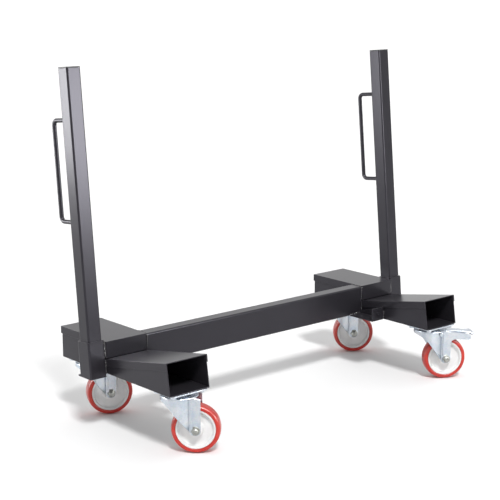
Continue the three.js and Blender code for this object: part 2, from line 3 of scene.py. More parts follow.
import bpy
import bmesh
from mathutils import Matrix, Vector


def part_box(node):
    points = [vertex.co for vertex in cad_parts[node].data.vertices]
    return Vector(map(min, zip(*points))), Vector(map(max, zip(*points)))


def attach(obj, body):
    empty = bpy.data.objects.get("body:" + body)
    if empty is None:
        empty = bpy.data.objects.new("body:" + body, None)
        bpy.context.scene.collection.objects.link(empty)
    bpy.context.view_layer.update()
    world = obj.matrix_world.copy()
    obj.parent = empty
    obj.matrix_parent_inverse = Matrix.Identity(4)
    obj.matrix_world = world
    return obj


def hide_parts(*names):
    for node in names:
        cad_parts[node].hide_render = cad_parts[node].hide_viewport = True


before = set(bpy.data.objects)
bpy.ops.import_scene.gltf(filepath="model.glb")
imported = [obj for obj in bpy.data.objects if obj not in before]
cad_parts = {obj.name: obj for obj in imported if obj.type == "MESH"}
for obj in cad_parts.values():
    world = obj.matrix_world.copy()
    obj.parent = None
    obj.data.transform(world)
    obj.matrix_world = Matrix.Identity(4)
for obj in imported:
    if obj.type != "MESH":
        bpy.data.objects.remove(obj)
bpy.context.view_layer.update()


# ---- Spine beam ----
# A length of 100 x 50 mm rectangular steel tube, 3 mm wall with rolled corners, standing on edge between
# the two end frames. Cut square, welded all round at both ends, then powder coated black with the frame.
MM = 0.001
beam_low, beam_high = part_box("spine_beam")
middle_x = (beam_low.x + beam_high.x) / 2
front_y = beam_low.y
TUBE_CORNER = 6
BEAM_WALL = 3
COAT_DARK = (0.0165, 0.0155, 0.0188, 1)
COAT_LIGHT = (0.0225, 0.0210, 0.0254, 1)
COAT_SHEEN = (0.90, 0.88, 1.0, 1)
DUST = (0.10, 0.097, 0.10, 1)


def at(x, y, z):
    """A point given in millimetres from the floor below the middle of the beam's front face."""
    return Vector((middle_x + x * MM, front_y + y * MM, z * MM))


def rounded_rectangle(width, height, radius, steps=6):
    points = []
    for quarter, (side, end) in enumerate(((1, -1), (1, 1), (-1, 1), (-1, -1))):
        for i in range(steps + 1):
            turn = math.radians(90 * (quarter - 1) + 90 * i / steps)
            points.append(
                (
                    side * (width / 2 - radius) + radius * math.cos(turn),
                    end * (height / 2 - radius) + radius * math.sin(turn),
                )
            )
    return points


def skin(bm, rings, joined=False):
    """Runs faces from each ring of points to the next. The ends are filled, or joined to each other."""
    rows = [[bm.verts.new(p) for p in ring] for ring in rings]
    pairs = list(zip(rows, rows[1:]))
    if joined:
        pairs.append((rows[-1], rows[0]))
    count = len(rows[0])
    for near, far in pairs:
        for i in range(count):
            j = (i + 1) % count
            bm.faces.new((near[i], near[j], far[j], far[i]))
    if not joined:
        bm.faces.new(rows[0][::-1])
        bm.faces.new(rows[-1])


def tube(bm, place, width, height, wall, radius, start, end, ease=0.6):
    """A rectangular tube along the third direction of place, with its cut ends lightly eased."""
    outer = rounded_rectangle(width, height, radius)
    eased = rounded_rectangle(width - 2 * ease, height - 2 * ease, radius - ease)
    inner = rounded_rectangle(width - 2 * wall, height - 2 * wall, max(radius - wall, 1))
    rings = [
        [place(u, v, start) for u, v in eased],
        [place(u, v, start + ease) for u, v in outer],
        [place(u, v, end - ease) for u, v in outer],
        [place(u, v, end) for u, v in eased],
        [place(u, v, end) for u, v in inner],
        [place(u, v, start) for u, v in inner],
    ]
    skin(bm, rings, joined=True)


def new_piece(name, bm, crease=35):
    bmesh.ops.recalc_face_normals(bm, faces=bm.faces)
    mesh = bpy.data.meshes.new(name)
    bm.to_mesh(mesh)
    bm.free()
    mesh.shade_smooth()
    mesh.set_sharp_from_angle(angle=math.radians(crease))
    piece = bpy.data.objects.new(name, mesh)
    bpy.context.scene.collection.objects.link(piece)
    flats = piece.modifiers.new("keep_flats_flat", "WEIGHTED_NORMAL")
    flats.weight = 100
    flats.keep_sharp = True
    ready = piece.evaluated_get(bpy.context.evaluated_depsgraph_get())
    piece.data = bpy.data.meshes.new_from_object(ready)
    piece.modifiers.clear()
    return piece


def fit(piece, body, material, slot, *nodes):
    """Gives a piece its finish and the body it moves with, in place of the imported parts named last."""
    piece.data.materials.clear()
    piece.data.materials.append(material)
    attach(piece, body)
    if nodes:
        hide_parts(*nodes)
    return piece


def reckon(tree, operation, *values):
    """One step of arithmetic in a node tree, on plain numbers or on sockets."""
    node = tree.nodes.new("ShaderNodeMath")
    node.operation = operation
    for socket, value in zip(node.inputs, values):
        if isinstance(value, (int, float)):
            socket.default_value = value
        else:
            tree.links.new(value, socket)
    return node.outputs[0]


class Recipe:
    """A material being mixed: its shader, and short ways to add noise, a range or a bump."""

    def __init__(self, name, color, roughness, metallic=0.0):
        self.material = bpy.data.materials.new(name)
        self.material.use_nodes = True
        self.tree = self.material.node_tree
        self.nodes = self.tree.nodes
        self.links = self.tree.links
        self.shader = self.nodes["Principled BSDF"]
        self.shader.inputs["Base Color"].default_value = color
        self.shader.inputs["Roughness"].default_value = roughness
        self.shader.inputs["Metallic"].default_value = metallic
        self.place = self.nodes.new("ShaderNodeTexCoord").outputs["Object"]
        self.height = None

    def stretched(self, scale):
        mapping = self.nodes.new("ShaderNodeMapping")
        mapping.inputs["Scale"].default_value = scale
        self.links.new(self.place, mapping.inputs["Vector"])
        return mapping.outputs["Vector"]

    def noise(self, scale, detail=2.0, roughness=0.5, place=None):
        node = self.nodes.new("ShaderNodeTexNoise")
        node.inputs["Scale"].default_value = scale
        node.inputs["Detail"].default_value = detail
        node.inputs["Roughness"].default_value = roughness
        self.links.new(place or self.place, node.inputs["Vector"])
        return node.outputs["Fac"]

    def cells(self, scale, place=None):
        node = self.nodes.new("ShaderNodeTexVoronoi")
        node.inputs["Scale"].default_value = scale
        self.links.new(place or self.place, node.inputs["Vector"])
        return node.outputs["Color"]

    def between(self, value, low, high, start=0.35, end=0.65):
        node = self.nodes.new("ShaderNodeMapRange")
        node.inputs["From Min"].default_value = start
        node.inputs["From Max"].default_value = end
        node.inputs["To Min"].default_value = low
        node.inputs["To Max"].default_value = high
        self.links.new(value, node.inputs["Value"])
        return node.outputs["Result"]

    def mix(self, amount, first, second):
        node = self.nodes.new("ShaderNodeMix")
        node.data_type = "RGBA"
        for socket, value in ((node.inputs[0], amount), (node.inputs[6], first), (node.inputs[7], second)):
            if isinstance(value, (tuple, float)):
                socket.default_value = value
            else:
                self.links.new(value, socket)
        return node.outputs[2]

    def upward(self):
        """How far the surface faces up, from 0 on a wall to 1 on a level top."""
        split = self.nodes.new("ShaderNodeSeparateXYZ")
        self.links.new(self.nodes.new("ShaderNodeNewGeometry").outputs["Normal"], split.inputs[0])
        return split.outputs["Z"]

    def color(self, value):
        self.links.new(value, self.shader.inputs["Base Color"])

    def gloss(self, value):
        self.links.new(value, self.shader.inputs["Roughness"])

    def bump(self, value, strength, distance):
        node = self.nodes.new("ShaderNodeBump")
        node.inputs["Strength"].default_value = strength
        node.inputs["Distance"].default_value = distance
        self.links.new(value, node.inputs["Height"])
        if self.height:
            self.links.new(self.height, node.inputs["Normal"])
        self.height = node.outputs["Normal"]
        self.links.new(self.height, self.shader.inputs["Normal"])


def powder_coat():
    """Satin black powder coat: fine orange peel, slow drifts of thickness, a breath of dust on level tops."""
    recipe = Recipe("black_powder_coat", COAT_LIGHT, 0.28)
    recipe.shader.inputs["Specular Tint"].default_value = COAT_SHEEN
    recipe.shader.inputs["Specular IOR Level"].default_value = 0.3
    drift = recipe.between(recipe.noise(7.0, 1.0), 0.0, 1.0, 0.1, 0.9)
    coat = recipe.mix(drift, COAT_DARK, COAT_LIGHT)
    on_tops = recipe.between(recipe.upward(), 0.0, 0.06, 0.6, 1.0)
    patches = recipe.between(recipe.noise(55.0, 6.0, 0.7), 0.2, 1.0)
    recipe.color(recipe.mix(reckon(recipe.tree, "MULTIPLY", on_tops, patches), coat, DUST))
    recipe.bump(recipe.noise(620.0, 0.0), 0.03, 0.0006)
    return recipe.material


black_coat = powder_coat()
beam_middle = (beam_low + beam_high) / 2
beam_depth = (beam_high.y - beam_low.y) / MM
beam_height = (beam_high.z - beam_low.z) / MM
beam_half = (beam_high.x - beam_low.x) / 2 / MM


def along_beam(u, v, w):
    return beam_middle + Vector((w, u, v)) * MM


bm = bmesh.new()
tube(bm, along_beam, beam_depth, beam_height, BEAM_WALL, TUBE_CORNER, -beam_half, beam_half)
fit(new_piece("beam", bm), "chassis", black_coat, "black_coat", "spine_beam")


# ---- End frames: rear arms and front feet ----
# Each end frame is folded from 2.5 mm sheet: a closed box arm to the rear with a lid whose lips fold down
# over it, and an open channel foot to the front under a sloping lid. Folds are rounded, cut edges eased.
SHEET = 2.5
FOLD = 4.4
CUT_EASE = 0.45
CORNER_ANGLE = math.radians(30)


def eased_copy(name, node, thickness, fold, ease):
    """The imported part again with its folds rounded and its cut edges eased."""
    bm = bmesh.new()
    bm.from_mesh(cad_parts[node].data)
    bmesh.ops.remove_doubles(bm, verts=bm.verts, dist=1e-5)
    bmesh.ops.dissolve_limit(bm, angle_limit=math.radians(1), verts=bm.verts, edges=bm.edges)

    def is_cut(face):
        """True for the narrow faces along a sheet's cut edges."""
        longest = max(e.calc_length() for e in face.edges)
        return face.calc_area() / longest < 1.25 * thickness * MM

    def corners(kind):
        found = []
        for edge in bm.edges:
            if len(edge.link_faces) != 2 or edge.calc_face_angle() < CORNER_ANGLE or not edge.is_convex:
                continue
            cut = any(is_cut(f) for f in edge.link_faces)
            if cut == (kind == "cut"):
                found.append(edge)
        return found

    for kind, width, steps in (("fold", fold, 4), ("cut", ease, 2)):
        bmesh.ops.bevel(bm, geom=corners(kind), offset=width * MM, offset_type="OFFSET", segments=steps,
                        profile=0.5, affect="EDGES", clamp_overlap=True)
        bmesh.ops.remove_doubles(bm, verts=bm.verts, dist=1e-6)
    return new_piece(name, bm, 30)


for side in ("left", "right"):
    for part in ("arm_shell", "arm_cover", "foot_shell", "foot_cover"):
        node = f"{part}_{side}"
        fit(eased_copy(f"{part}_folded_{side}", node, SHEET, FOLD, CUT_EASE), "chassis", black_coat,
            "black_coat", node)


# ---- Corner brackets ----
# A 5 mm plate bent up at its front stands in the corner between the beam and each foot, with a tapered rib
# along the foot and a bolt through the hole in its front. Welded to both, all coated with the frame.
BRACKET_PLATE = 5
BRACKET_FOLD = 3.2
BRACKET_EASE = 1.0
BRACKET_HOLE_UP = 26
BRACKET_BOLT_FLATS = 13
WASHER_THICK = 1.8


def hex_rings(flats, bottom, top, chamfer_bottom=False, sides=48):
    """Rings of (across, up, height) for a hexagon with turned corners, from its seat to its top."""
    inscribed = flats / 2
    turned = inscribed * 0.97
    rings = []

    def ring(height_at, reach_at):
        rings.append([(reach_at(a) * math.cos(a), reach_at(a) * math.sin(a), height_at(a))
                      for a in (2 * math.pi * i / sides for i in range(sides))])

    def reach(a):
        part = (a % (math.pi / 3)) - math.pi / 6
        return inscribed / math.cos(part)

    def drop(a):
        return (reach(a) - inscribed) * 0.62

    if chamfer_bottom:
        ring(lambda a: bottom, lambda a: turned)
        ring(lambda a: bottom + drop(a), reach)
    else:
        ring(lambda a: bottom, reach)
    ring(lambda a: top - drop(a), reach)
    ring(lambda a: top, lambda a: turned)
    return rings


def turned_rings(profile, sides=48):
    """Rings for a turned shape whose profile is (radius, height) points."""
    return [[(r * math.cos(2 * math.pi * i / sides), r * math.sin(2 * math.pi * i / sides), h)
             for i in range(sides)] for r, h in profile]


def lay(place, rings):
    """Sets rings of (x, y, z) points in their place on the trolley."""
    return [[place(*p) for p in ring] for ring in rings]


for side in ("left", "right"):
    node = f"corner_bracket_{side}"
    bracket = eased_copy(f"bracket_{side}", node, BRACKET_PLATE, BRACKET_FOLD, BRACKET_EASE)
    fit(bracket, "chassis", black_coat, "black_coat", node)
    low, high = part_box(node)
    hole = Vector(((low.x + high.x) / 2, low.y, low.z + BRACKET_HOLE_UP * MM))

    def on_bracket(u, v, w):
        return hole + Vector((u, -w, v)) * MM

    bm = bmesh.new()
    shank_and_washer = [(4.6, -9), (4.6, 0.2), (8.6, 0.3), (8.6, 1.5), (7.9, WASHER_THICK), (4, WASHER_THICK)]
    skin(bm, lay(on_bracket, turned_rings(shank_and_washer)))
    skin(bm, lay(on_bracket, hex_rings(BRACKET_BOLT_FLATS, WASHER_THICK, 7.2)))
    fit(new_piece(f"bracket_bolt_{side}", bm), "chassis", black_coat, "black_coat")


# ---- Upright sockets ----
# A 110 mm sleeve of 60 x 60 x 4 mm tube stands on a small base plate against the outside of each end frame,
# leaning back a little, so that an upright drops in. Welded to the plate and to the arm, then coated.
LEAN = math.radians(5.4)
SOCKET_X = 669.3
SOCKET_Y = 26.2
SOCKET_FLOOR = 190
SOCKET_SIZE = 60
SOCKET_WALL = 4
SOCKET_BORE = SOCKET_SIZE - 2 * SOCKET_WALL
SOCKET_LENGTH = 110
SOCKET_PLATE_DEPTH = 70
SOCKET_PLATE_THICK = 4


def leaning(side):
    """Places points given across, along and up a tube that stands in the socket on one side."""
    x = SOCKET_X if side == "right" else -SOCKET_X
    sin, cos = math.sin(LEAN), math.cos(LEAN)
    return lambda u, v, w: at(x + u, SOCKET_Y + v * cos + w * sin, SOCKET_FLOOR - v * sin + w * cos)


for side in ("left", "right"):
    place = leaning(side)
    bm = bmesh.new()
    outer = rounded_rectangle(SOCKET_SIZE, SOCKET_SIZE, TUBE_CORNER)
    eased = rounded_rectangle(SOCKET_SIZE - 1.6, SOCKET_SIZE - 1.6, TUBE_CORNER - 0.8)
    inner = rounded_rectangle(SOCKET_BORE, SOCKET_BORE, 2)
    lip = rounded_rectangle(SOCKET_BORE + 1, SOCKET_BORE + 1, 2.5)
    rise = math.tan(LEAN)
    rings = [
        [place(u, v, v * rise) for u, v in outer],
        [place(u, v, SOCKET_LENGTH - 0.8) for u, v in outer],
        [place(u, v, SOCKET_LENGTH) for u, v in eased],
        [place(u, v, SOCKET_LENGTH) for u, v in lip],
        [place(u, v, SOCKET_LENGTH - 0.5) for u, v in inner],
        [place(u, v, v * rise) for u, v in inner],
    ]
    skin(bm, rings, joined=True)
    low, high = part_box(f"socket_{side}")
    plate_middle = Vector(((low.x + high.x) / 2, low.y + SOCKET_PLATE_DEPTH / 2 * MM,
                           (SOCKET_FLOOR - SOCKET_PLATE_THICK / 2) * MM))

    def on_plate(u, v, w):
        return plate_middle + Vector((u, v, w)) * MM

    full = rounded_rectangle(SOCKET_SIZE, SOCKET_PLATE_DEPTH, 3)
    short = rounded_rectangle(SOCKET_SIZE - 1, SOCKET_PLATE_DEPTH - 1, 2.5)
    skin(bm, [[on_plate(u, v, w) for u, v in ring] for ring, w in
              ((short, -2), (full, -1.5), (full, 1.5), (short, 2))])
    fit(new_piece(f"sleeve_{side}", bm), "chassis", black_coat, "black_coat", f"socket_{side}")


# ---- Uprights ----
# 50 x 50 x 3 mm square tube, cut square, standing loose in the socket so that it lifts out. A black moulded
# plug closes the top: a flat head as wide as the tube, with its edge rounded, on a ribbed spigot.
UPRIGHT_SIZE = 50
UPRIGHT_WALL = 3
UPRIGHT_START = 2.8
UPRIGHT_END = 942
CAP_TOP = 946
SPIGOT_RIBS = 3


def moulded_plastic():
    """Black moulded plastic with a fine spark-eroded grain."""
    recipe = Recipe("black_plastic", (0.016, 0.016, 0.018, 1), 0.55)
    clouds = recipe.between(recipe.noise(60.0, 3.0), 0.0, 1.0)
    recipe.color(recipe.mix(clouds, (0.013, 0.013, 0.015, 1), (0.021, 0.021, 0.024, 1)))
    recipe.gloss(recipe.between(recipe.noise(200.0, 3.0), 0.48, 0.62))
    recipe.bump(recipe.noise(1800.0, 2.0, 0.6), 0.2, 0.0002)
    return recipe.material


plastic = moulded_plastic()
for side in ("left", "right"):
    place = leaning(side)
    body = f"upright_{side}"
    bm = bmesh.new()
    tube(bm, place, UPRIGHT_SIZE, UPRIGHT_SIZE, UPRIGHT_WALL, TUBE_CORNER, UPRIGHT_START, UPRIGHT_END, 0.5)
    fit(new_piece(f"post_{side}", bm), body, black_coat, "black_coat", f"upright_{side}")

    bm = bmesh.new()
    head = ((UPRIGHT_SIZE, TUBE_CORNER, UPRIGHT_END + 0.3), (UPRIGHT_SIZE, TUBE_CORNER, CAP_TOP - 1.4),
            (UPRIGHT_SIZE - 0.8, 5.8, CAP_TOP - 0.5), (UPRIGHT_SIZE - 2.6, 5, CAP_TOP))
    skin(bm, [[place(u, v, w) for u, v in rounded_rectangle(size, size, radius)] for size, radius, w in head])
    spigot = [(39, 928), (40.4, 930)]
    for rib in range(SPIGOT_RIBS):
        base = 931 + 3.6 * rib
        spigot += [(41.2, base), (43, base + 1.2), (41.2, base + 2.4)]
    spigot.append((41.2, UPRIGHT_END + 0.4))
    skin(bm, [[place(u, v, w) for u, v in rounded_rectangle(size, size, 3)] for size, w in spigot])
    fit(new_piece(f"end_plug_{side}", bm), body, plastic, "black_plastic", f"upright_cap_{side}")


# ---- Grab handles ----
# 14 mm round steel rod bent twice into a D and butt welded to the rear face of each upright about two
# thirds of the way up, for pushing and for lifting the upright out. Coated with the upright.
HANDLE_RADIUS = 7
HANDLE_LOW = 474
HANDLE_HIGH = 786
HANDLE_START = UPRIGHT_SIZE / 2 + 0.3
HANDLE_OUT = UPRIGHT_SIZE / 2 + 82
HANDLE_BEND = 16
BEND_STEPS = 10


def bent_rod(bm, place, path, radius, sides=20):
    """A round rod along points (v, w) in the upright's own side plane."""
    rings = []
    for i, (v, w) in enumerate(path):
        before, after = path[max(i - 1, 0)], path[min(i + 1, len(path) - 1)]
        dv, dw = after[0] - before[0], after[1] - before[1]
        length = math.hypot(dv, dw)
        nv, nw = -dw / length, dv / length
        ring = []
        for k in range(sides):
            turn = 2 * math.pi * k / sides
            out = radius * math.cos(turn)
            ring.append(place(radius * math.sin(turn), v + nv * out, w + nw * out))
        rings.append(ring)
    skin(bm, rings)


for side in ("left", "right"):
    middle = HANDLE_OUT - HANDLE_BEND
    path = [(HANDLE_START, HANDLE_LOW)]
    for i in range(BEND_STEPS + 1):
        turn = math.radians(90 * i / BEND_STEPS)
        path.append((middle + HANDLE_BEND * math.sin(turn), HANDLE_LOW + HANDLE_BEND * (1 - math.cos(turn))))
    for i in range(BEND_STEPS + 1):
        turn = math.radians(90 * i / BEND_STEPS)
        path.append((middle + HANDLE_BEND * math.cos(turn), HANDLE_HIGH - HANDLE_BEND * (1 - math.sin(turn))))
    path.append((HANDLE_START, HANDLE_HIGH))
    bm = bmesh.new()
    bent_rod(bm, leaning(side), path, HANDLE_RADIUS)
    fit(new_piece(f"grab_handle_{side}", bm), f"upright_{side}", black_coat, "black_coat", f"handle_{side}")


# ---- Welds ----
# MIG beads hold the frame together: round the beam's ends, down both sides of each socket, along the corner
# brackets and round the handle rods. Each is a row of overlapping ripples under thin glossy coat that leaves
# a few bright flecks of spatter.
def coated_bead():
    recipe = Recipe("coated_weld", COAT_LIGHT, 0.2)
    flecks = recipe.between(recipe.noise(330.0, 2.0, 0.6), 0.0, 1.0, 0.60, 0.66)
    recipe.color(recipe.mix(flecks, COAT_LIGHT, (0.62, 0.61, 0.60, 1)))
    recipe.links.new(flecks, recipe.shader.inputs["Metallic"])
    recipe.bump(recipe.noise(420.0, 3.0, 0.6), 0.5, 0.0012)
    return recipe.material


weld_coat = coated_bead()


def node_tree(name, inputs):
    """A Geometry Nodes tree with named inputs. Returns the tree and its input node."""
    tree = bpy.data.node_groups.new(name, "GeometryNodeTree")
    tree.interface.new_socket("Geometry", in_out="INPUT", socket_type="NodeSocketGeometry")
    tree.interface.new_socket("Geometry", in_out="OUTPUT", socket_type="NodeSocketGeometry")
    for label, kind in inputs:
        tree.interface.new_socket(label, in_out="INPUT", socket_type=f"NodeSocket{kind}")
    return tree, tree.nodes.new("NodeGroupInput")


def end_tree(tree, start, result):
    """Makes the result real, gives it the material input and ends the tree."""
    real = tree.nodes.new("GeometryNodeRealizeInstances")
    dress = tree.nodes.new("GeometryNodeSetMaterial")
    end = tree.nodes.new("NodeGroupOutput")
    tree.links.new(result, real.inputs[0])
    tree.links.new(real.outputs[0], dress.inputs["Geometry"])
    tree.links.new(start.outputs["Material"], dress.inputs["Material"])
    tree.links.new(dress.outputs[0], end.inputs[0])


def grown(name, source, tree, values):
    """Runs a tree on a source object and returns the result as a plain piece. The source is removed."""
    bpy.context.scene.collection.objects.link(source)
    modifier = source.modifiers.new(tree.name, "NODES")
    modifier.node_group = tree
    keys = {s.name: s.identifier for s in tree.interface.items_tree if s.in_out == "INPUT"}
    for label, value in values.items():
        modifier[keys[label]] = value
    bpy.context.view_layer.update()
    ready = source.evaluated_get(bpy.context.evaluated_depsgraph_get())
    mesh = bpy.data.meshes.new_from_object(ready)
    source.modifiers.clear()
    bpy.data.objects.remove(source)
    piece = bpy.data.objects.new(name, mesh)
    bpy.context.scene.collection.objects.link(piece)
    return piece


STEPS_PER_RIPPLE = 4
BEAD_SIDES = 9
weld_tree, start = node_tree("weld_bead", (
    ("Bead Radius", "Float"), ("Ripple Length", "Float"), ("Ripple Depth", "Float"), ("Seed", "Int"),
    ("Material", "Material")))
join = weld_tree.links.new
even = weld_tree.nodes.new("GeometryNodeResampleCurve")
even.mode = "LENGTH"
join(start.outputs["Geometry"], even.inputs["Curve"])
join(reckon(weld_tree, "DIVIDE", start.outputs["Ripple Length"], STEPS_PER_RIPPLE), even.inputs["Length"])
step = weld_tree.nodes.new("GeometryNodeInputIndex").outputs[0]
ripple = reckon(weld_tree, "FRACT", reckon(weld_tree, "DIVIDE", step, STEPS_PER_RIPPLE))
ripple = reckon(weld_tree, "SUBTRACT", 1.0,
                reckon(weld_tree, "MULTIPLY", ripple, start.outputs["Ripple Depth"]))
uneven = weld_tree.nodes.new("FunctionNodeRandomValue")
uneven.inputs[2].default_value = 0.88
uneven.inputs[3].default_value = 1.12
join(start.outputs["Seed"], uneven.inputs["Seed"])
along = weld_tree.nodes.new("GeometryNodeSplineParameter").outputs["Length"]
whole = weld_tree.nodes.new("GeometryNodeSplineLength").outputs["Length"]
to_end = reckon(weld_tree, "MINIMUM", along, reckon(weld_tree, "SUBTRACT", whole, along))
ramp = reckon(weld_tree, "MULTIPLY", start.outputs["Bead Radius"], 1.6)
taper = reckon(weld_tree, "ADD", 0.35, reckon(weld_tree, "DIVIDE", to_end, ramp))
size = reckon(weld_tree, "MULTIPLY", reckon(weld_tree, "MULTIPLY", ripple, uneven.outputs[1]),
              reckon(weld_tree, "MINIMUM", taper, 1.0))
section = weld_tree.nodes.new("GeometryNodeCurvePrimitiveCircle")
section.inputs["Resolution"].default_value = BEAD_SIDES
join(start.outputs["Bead Radius"], section.inputs["Radius"])
swept = weld_tree.nodes.new("GeometryNodeCurveToMesh")
swept.inputs["Fill Caps"].default_value = True
join(even.outputs[0], swept.inputs["Curve"])
join(section.outputs["Curve"], swept.inputs["Profile Curve"])
join(size, swept.inputs["Scale"])
smooth = weld_tree.nodes.new("GeometryNodeSetShadeSmooth")
join(swept.outputs[0], smooth.inputs["Geometry"])
end_tree(weld_tree, start, smooth.outputs[0])


def weld(name, body, runs, radius):
    """Beads along runs of points, as one piece on one body."""
    curve = bpy.data.curves.new("weld_path", "CURVE")
    curve.dimensions = "3D"
    for run in runs:
        spline = curve.splines.new("POLY")
        spline.points.add(len(run) - 1)
        for point, place in zip(spline.points, run):
            point.co = (*place, 1)
    piece = grown(name, bpy.data.objects.new("weld_path", curve), weld_tree,
                  {"Bead Radius": radius * MM, "Ripple Length": 2.6 * MM, "Ripple Depth": 0.3, "Seed": 5,
                   "Material": weld_coat})
    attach(piece, body)


INNER_FACE = 483
OUTER_FACE = 639.2
# Straight beads on the right-hand side, each from one end to the other.
SOCKET_RUNS = (
    ((OUTER_FACE + 1.8, 6, 297), (OUTER_FACE + 1.8, 1.4, 246)),
    ((OUTER_FACE + 1.6, 66, 293), (OUTER_FACE + 1.6, 57.6, 200)),
)
FRAME_RUNS = (
    ((INNER_FACE - 0.4, -0.4, 293), (INNER_FACE - 0.4, -0.4, 247)),
    ((INNER_FACE + 0.8, -1, 240), (INNER_FACE + 0.8, -1, 201)),
    ((INNER_FACE - 0.6, 4, 295.4), (INNER_FACE - 0.6, 47, 295.4)),
    ((INNER_FACE + 1.2, 51, 292), (INNER_FACE + 1.2, 51, 199)),
    ((INNER_FACE + 1.8, 4, 195), (INNER_FACE + 1.8, 47, 195)),
    ((OUTER_FACE + 1.4, 0.6, 240), (OUTER_FACE + 1.4, -2.4, 194)),
    ((645, 57.4, 190.8), (694, 57.4, 190.8)),
    ((427, -0.8, 200.6), (476, -0.8, 200.6)),
    ((427, -0.6, 194.6), (440, -0.6, 194.6)),
    ((INNER_FACE + 0.2, -112.2, 199), (INNER_FACE + 0.2, -112.2, 228)),
)
for side, mirror in (("left", -1), ("right", 1)):
    for kind, runs, radius in (("socket", SOCKET_RUNS, 3.2), ("frame", FRAME_RUNS, 2.1)):
        placed = [[at(mirror * x, y, z) for x, y, z in run] for run in runs]
        weld(f"{kind}_welds_{side}", "chassis", placed, radius)
    place = leaning(side)
    around = HANDLE_RADIUS + 0.8
    rounds = []
    for w in (HANDLE_LOW, HANDLE_HIGH):
        turns = [math.radians(12 * i) for i in range(31)]
        rounds.append([place(around * math.sin(a), UPRIGHT_SIZE / 2 + 0.8, w + around * math.cos(a))
                       for a in turns])
    weld(f"handle_welds_{side}", f"upright_{side}", rounds, 2.3)


# ---- Castor plates, races and kingpins ----
# Four 150 mm swivel castors with bolt-on zinc plated heads. The 4 mm top plate has rounded corners and four
# slots, the ball race is pressed up under it, and a kingpin with a hexagon nut holds the fork on.
PLATE_X = 135
PLATE_Y = 110
PLATE_THICK = 4
PLATE_TOP = 194.7
PLATE_CORNER = 8
SLOT_LONG = 18
SLOT_WIDE = 11
SLOT_PLACES = [(x, y) for x in (-52.5, 52.5) for y in (-40, 40)]
RACE_BOTTOM = 180.3
RACE_TOP = 190.4
KINGPIN_FLATS = 29
CASTORS = ("front_left", "rear_left", "front_right", "rear_right")
BRAKED = ("front_right", "rear_right")
ZINC_BLUE = (0.47, 0.53, 0.60, 1)
ZINC_PALE = (0.60, 0.62, 0.65, 1)


def zinc_plate():
    """Bright zinc plate with a blue passivate: soft clouds, faint crystals, drawing marks from the press."""
    recipe = Recipe("bright_zinc", ZINC_PALE, 0.3, 1.0)
    clouds = recipe.between(recipe.noise(38.0, 4.0, 0.6), 0.0, 1.0)
    crystals = recipe.cells(260.0)
    plate = recipe.mix(clouds, ZINC_BLUE, ZINC_PALE)
    recipe.color(recipe.mix(0.035, plate, crystals))
    marks = recipe.noise(120.0, 3.0, 0.6, recipe.stretched((1.0, 1.0, 6.0)))
    recipe.gloss(recipe.between(marks, 0.26, 0.40))
    recipe.bump(recipe.noise(420.0, 3.0, 0.6), 0.08, 0.0004)
    recipe.bump(marks, 0.03, 0.0008)
    return recipe.material


zinc = zinc_plate()


def centre_of(node):
    """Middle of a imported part's box."""
    low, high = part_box(node)
    return (low + high) / 2


def head_of(castor):
    """Places points of a castor's fixed head, square to the frame, round its kingpin."""
    middle = centre_of(f"castor_plate_{castor}")
    return lambda x, y, z: Vector((middle.x + x * MM, middle.y + y * MM, z * MM))


def trailing(castor):
    """Places points of a castor's turning part: x towards the wheel, y along the axle."""
    pin = centre_of(f"castor_plate_{castor}")
    towards = centre_of(f"tyre_{castor}") - pin
    towards.z = 0
    towards.normalize()
    across = Vector((-towards.y, towards.x, 0))
    foot = Vector((pin.x, pin.y, 0))
    return lambda x, y, z: foot + (towards * x + across * y + Vector((0, 0, z))) * MM


def stamped(outline, holes, thickness, ease, place):
    """A flat plate cut to an outline with holes, both as (u, v) points, with its edges a little eased."""
    curve = bpy.data.curves.new("blank", "CURVE")
    curve.dimensions = "2D"
    curve.fill_mode = "BOTH"
    curve.extrude = thickness / 2 - ease
    curve.bevel_depth = ease
    curve.bevel_resolution = 1
    curve.offset = -ease
    for points in [outline, *holes]:
        spline = curve.splines.new("POLY")
        spline.points.add(len(points) - 1)
        for point, (u, v) in zip(spline.points, points):
            point.co = (u, v, 0, 1)
        spline.use_cyclic_u = True
    blank = bpy.data.objects.new("blank", curve)
    bpy.context.scene.collection.objects.link(blank)
    bpy.context.view_layer.update()
    flat = bpy.data.meshes.new_from_object(blank.evaluated_get(bpy.context.evaluated_depsgraph_get()))
    bpy.data.objects.remove(blank)
    bm = bmesh.new()
    bm.from_mesh(flat)
    bpy.data.meshes.remove(flat)
    bmesh.ops.remove_doubles(bm, verts=bm.verts, dist=0.002)
    for vert in bm.verts:
        vert.co = place(*vert.co)
    return bm


